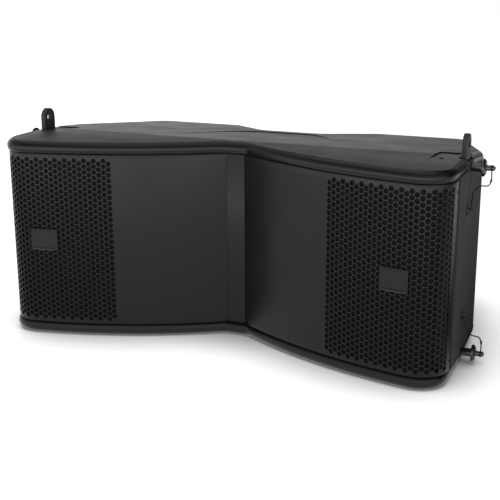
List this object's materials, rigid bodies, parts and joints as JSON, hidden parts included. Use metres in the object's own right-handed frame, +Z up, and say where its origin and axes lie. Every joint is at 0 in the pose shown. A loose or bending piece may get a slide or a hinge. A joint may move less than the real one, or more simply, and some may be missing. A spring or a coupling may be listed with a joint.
{
  "type": "line array speaker",
  "caption": "Wide wedge-shaped line array speaker with a V-shaped front, perforated sheets, a tall horn slot, link arms and lock pins.",
  "frame": {"origin": "under the middle of the bounding box, on the plane of the underside", "axes": "+X to the right seen from the front, +Y backwards, +Z up"},
  "size_m": [0.8854, 0.507, 0.3896],
  "materials": {
    "shell": "textured dark grey polyurethane paint over plywood",
    "cap": "satin dark grey moulding",
    "grille": "satin dark grey powder coat, perforated",
    "foam": "open-cell acoustic foam, black",
    "badge": "satin, bevelled edge",
    "screen": "satin dark grey",
    "horn": "moulded black",
    "driver": "black lacquered iron and die-cast metal",
    "steel": "dark grey powder coat",
    "rubber": "matt black",
    "paper": "treated paper",
    "copper": "enamelled copper wire",
    "board": "glass-fibre board, green",
    "plastic": "moulded black",
    "bright": "turned stainless steel"
  },
  "bodies": {
    "cabinet": {"cabinet_shell": "shell", "top_end_cap": "cap", "bottom_end_cap": "cap", "right_grille": "grille", "right_grille_foam": "foam", "right_badge": "badge", "left_grille": "grille", "left_grille_foam": "foam", "left_badge": "badge", "mouth_screen": "screen", "waveguide_horn": "horn", "upper_compression_driver": "driver", "lower_compression_driver": "driver", "right_woofer_basket": "steel", "right_woofer_magnet": "driver", "right_woofer_surround": "rubber", "left_woofer_basket": "steel", "left_woofer_magnet": "driver", "left_woofer_surround": "rubber", "crossover_board": "board", "crossover_woofer_coil": "copper", "crossover_horn_coil": "copper", "crossover_capacitor": "plastic", "input_panel": "steel", "input_connector": "plastic", "link_connector": "plastic", "right_handle_cup": "plastic", "right_side_plate": "steel", "left_handle_cup": "plastic", "left_side_plate": "steel", "rear_splay_bracket": "steel", "right_upper_lanyard_anchor": "steel", "right_lower_lanyard_anchor": "steel", "left_upper_lanyard_anchor": "steel", "left_lower_lanyard_anchor": "steel"},
    "right_link": {"right_link_arm": "steel"},
    "right_woofer_moving_system": {"right_woofer_cone": "paper", "right_woofer_dust_cap": "paper", "right_woofer_voice_coil": "copper"},
    "right_upper_pin": {"right_upper_lock_pin": "bright", "right_upper_lanyard": "rubber"},
    "right_upper_button": {"right_upper_pin_button": "plastic"},
    "right_lower_pin": {"right_lower_lock_pin": "bright", "right_lower_lanyard": "rubber"},
    "right_lower_button": {"right_lower_pin_button": "plastic"},
    "left_link": {"left_link_arm": "steel"},
    "left_woofer_moving_system": {"left_woofer_cone": "paper", "left_woofer_dust_cap": "paper", "left_woofer_voice_coil": "copper"},
    "left_upper_pin": {"left_upper_lock_pin": "bright", "left_upper_lanyard": "rubber"},
    "left_upper_button": {"left_upper_pin_button": "plastic"},
    "left_lower_pin": {"left_lower_lock_pin": "bright", "left_lower_lanyard": "rubber"},
    "left_lower_button": {"left_lower_pin_button": "plastic"},
    "splay_arm": {"rear_splay_arm": "steel"},
    "rear_pin": {"rear_lock_pin": "bright"},
    "rear_button": {"rear_pin_button": "plastic"}
  },
  "joints": [
    {"name": "right_link_slide", "type": "slide", "parent": "cabinet", "child": "right_link", "axis": [0, 0, 1], "range_m": [-0.0371, 0]},
    {"name": "right_upper_pin_pull", "type": "slide", "parent": "cabinet", "child": "right_upper_pin", "axis": [1, 0, 0], "range_m": [-0.0175, 0.035], "deforming": ["right_upper_lanyard"]},
    {"name": "right_upper_pin_button_press", "type": "slide", "parent": "right_upper_pin", "child": "right_upper_button", "axis": [1, 0, 0], "range_m": [-0.0015, 0]},
    {"name": "right_lower_pin_pull", "type": "slide", "parent": "cabinet", "child": "right_lower_pin", "axis": [1, 0, 0], "range_m": [-0.0175, 0.035], "deforming": ["right_lower_lanyard"]},
    {"name": "right_lower_pin_button_press", "type": "slide", "parent": "right_lower_pin", "child": "right_lower_button", "axis": [1, 0, 0], "range_m": [-0.0015, 0]},
    {"name": "right_woofer_excursion", "type": "slide", "parent": "cabinet", "child": "right_woofer_moving_system", "axis": [-0.335, -0.9422, 0], "range_m": [-0.005, 0.005]},
    {"name": "left_link_slide", "type": "slide", "parent": "cabinet", "child": "left_link", "axis": [0, 0, 1], "range_m": [-0.0371, 0]},
    {"name": "left_upper_pin_pull", "type": "slide", "parent": "cabinet", "child": "left_upper_pin", "axis": [-1, 0, 0], "range_m": [-0.0175, 0.035], "deforming": ["left_upper_lanyard"]},
    {"name": "left_upper_pin_button_press", "type": "slide", "parent": "left_upper_pin", "child": "left_upper_button", "axis": [-1, 0, 0], "range_m": [-0.0015, 0]},
    {"name": "left_lower_pin_pull", "type": "slide", "parent": "cabinet", "child": "left_lower_pin", "axis": [-1, 0, 0], "range_m": [-0.0175, 0.035], "deforming": ["left_lower_lanyard"]},
    {"name": "left_lower_pin_button_press", "type": "slide", "parent": "left_lower_pin", "child": "left_lower_button", "axis": [-1, 0, 0], "range_m": [-0.0015, 0]},
    {"name": "left_woofer_excursion", "type": "slide", "parent": "cabinet", "child": "left_woofer_moving_system", "axis": [0.335, -0.9422, 0], "range_m": [-0.005, 0.005]},
    {"name": "splay_arm_slide", "type": "slide", "parent": "cabinet", "child": "splay_arm", "axis": [0, 0, 1], "range_m": [0, 0.06]},
    {"name": "rear_pin_pull", "type": "slide", "parent": "cabinet", "child": "rear_pin", "axis": [1, 0, 0], "range_m": [-0.0172, 0.025]},
    {"name": "rear_pin_button_press", "type": "slide", "parent": "rear_pin", "child": "rear_button", "axis": [1, 0, 0], "range_m": [-0.0015, 0]}
  ]
}
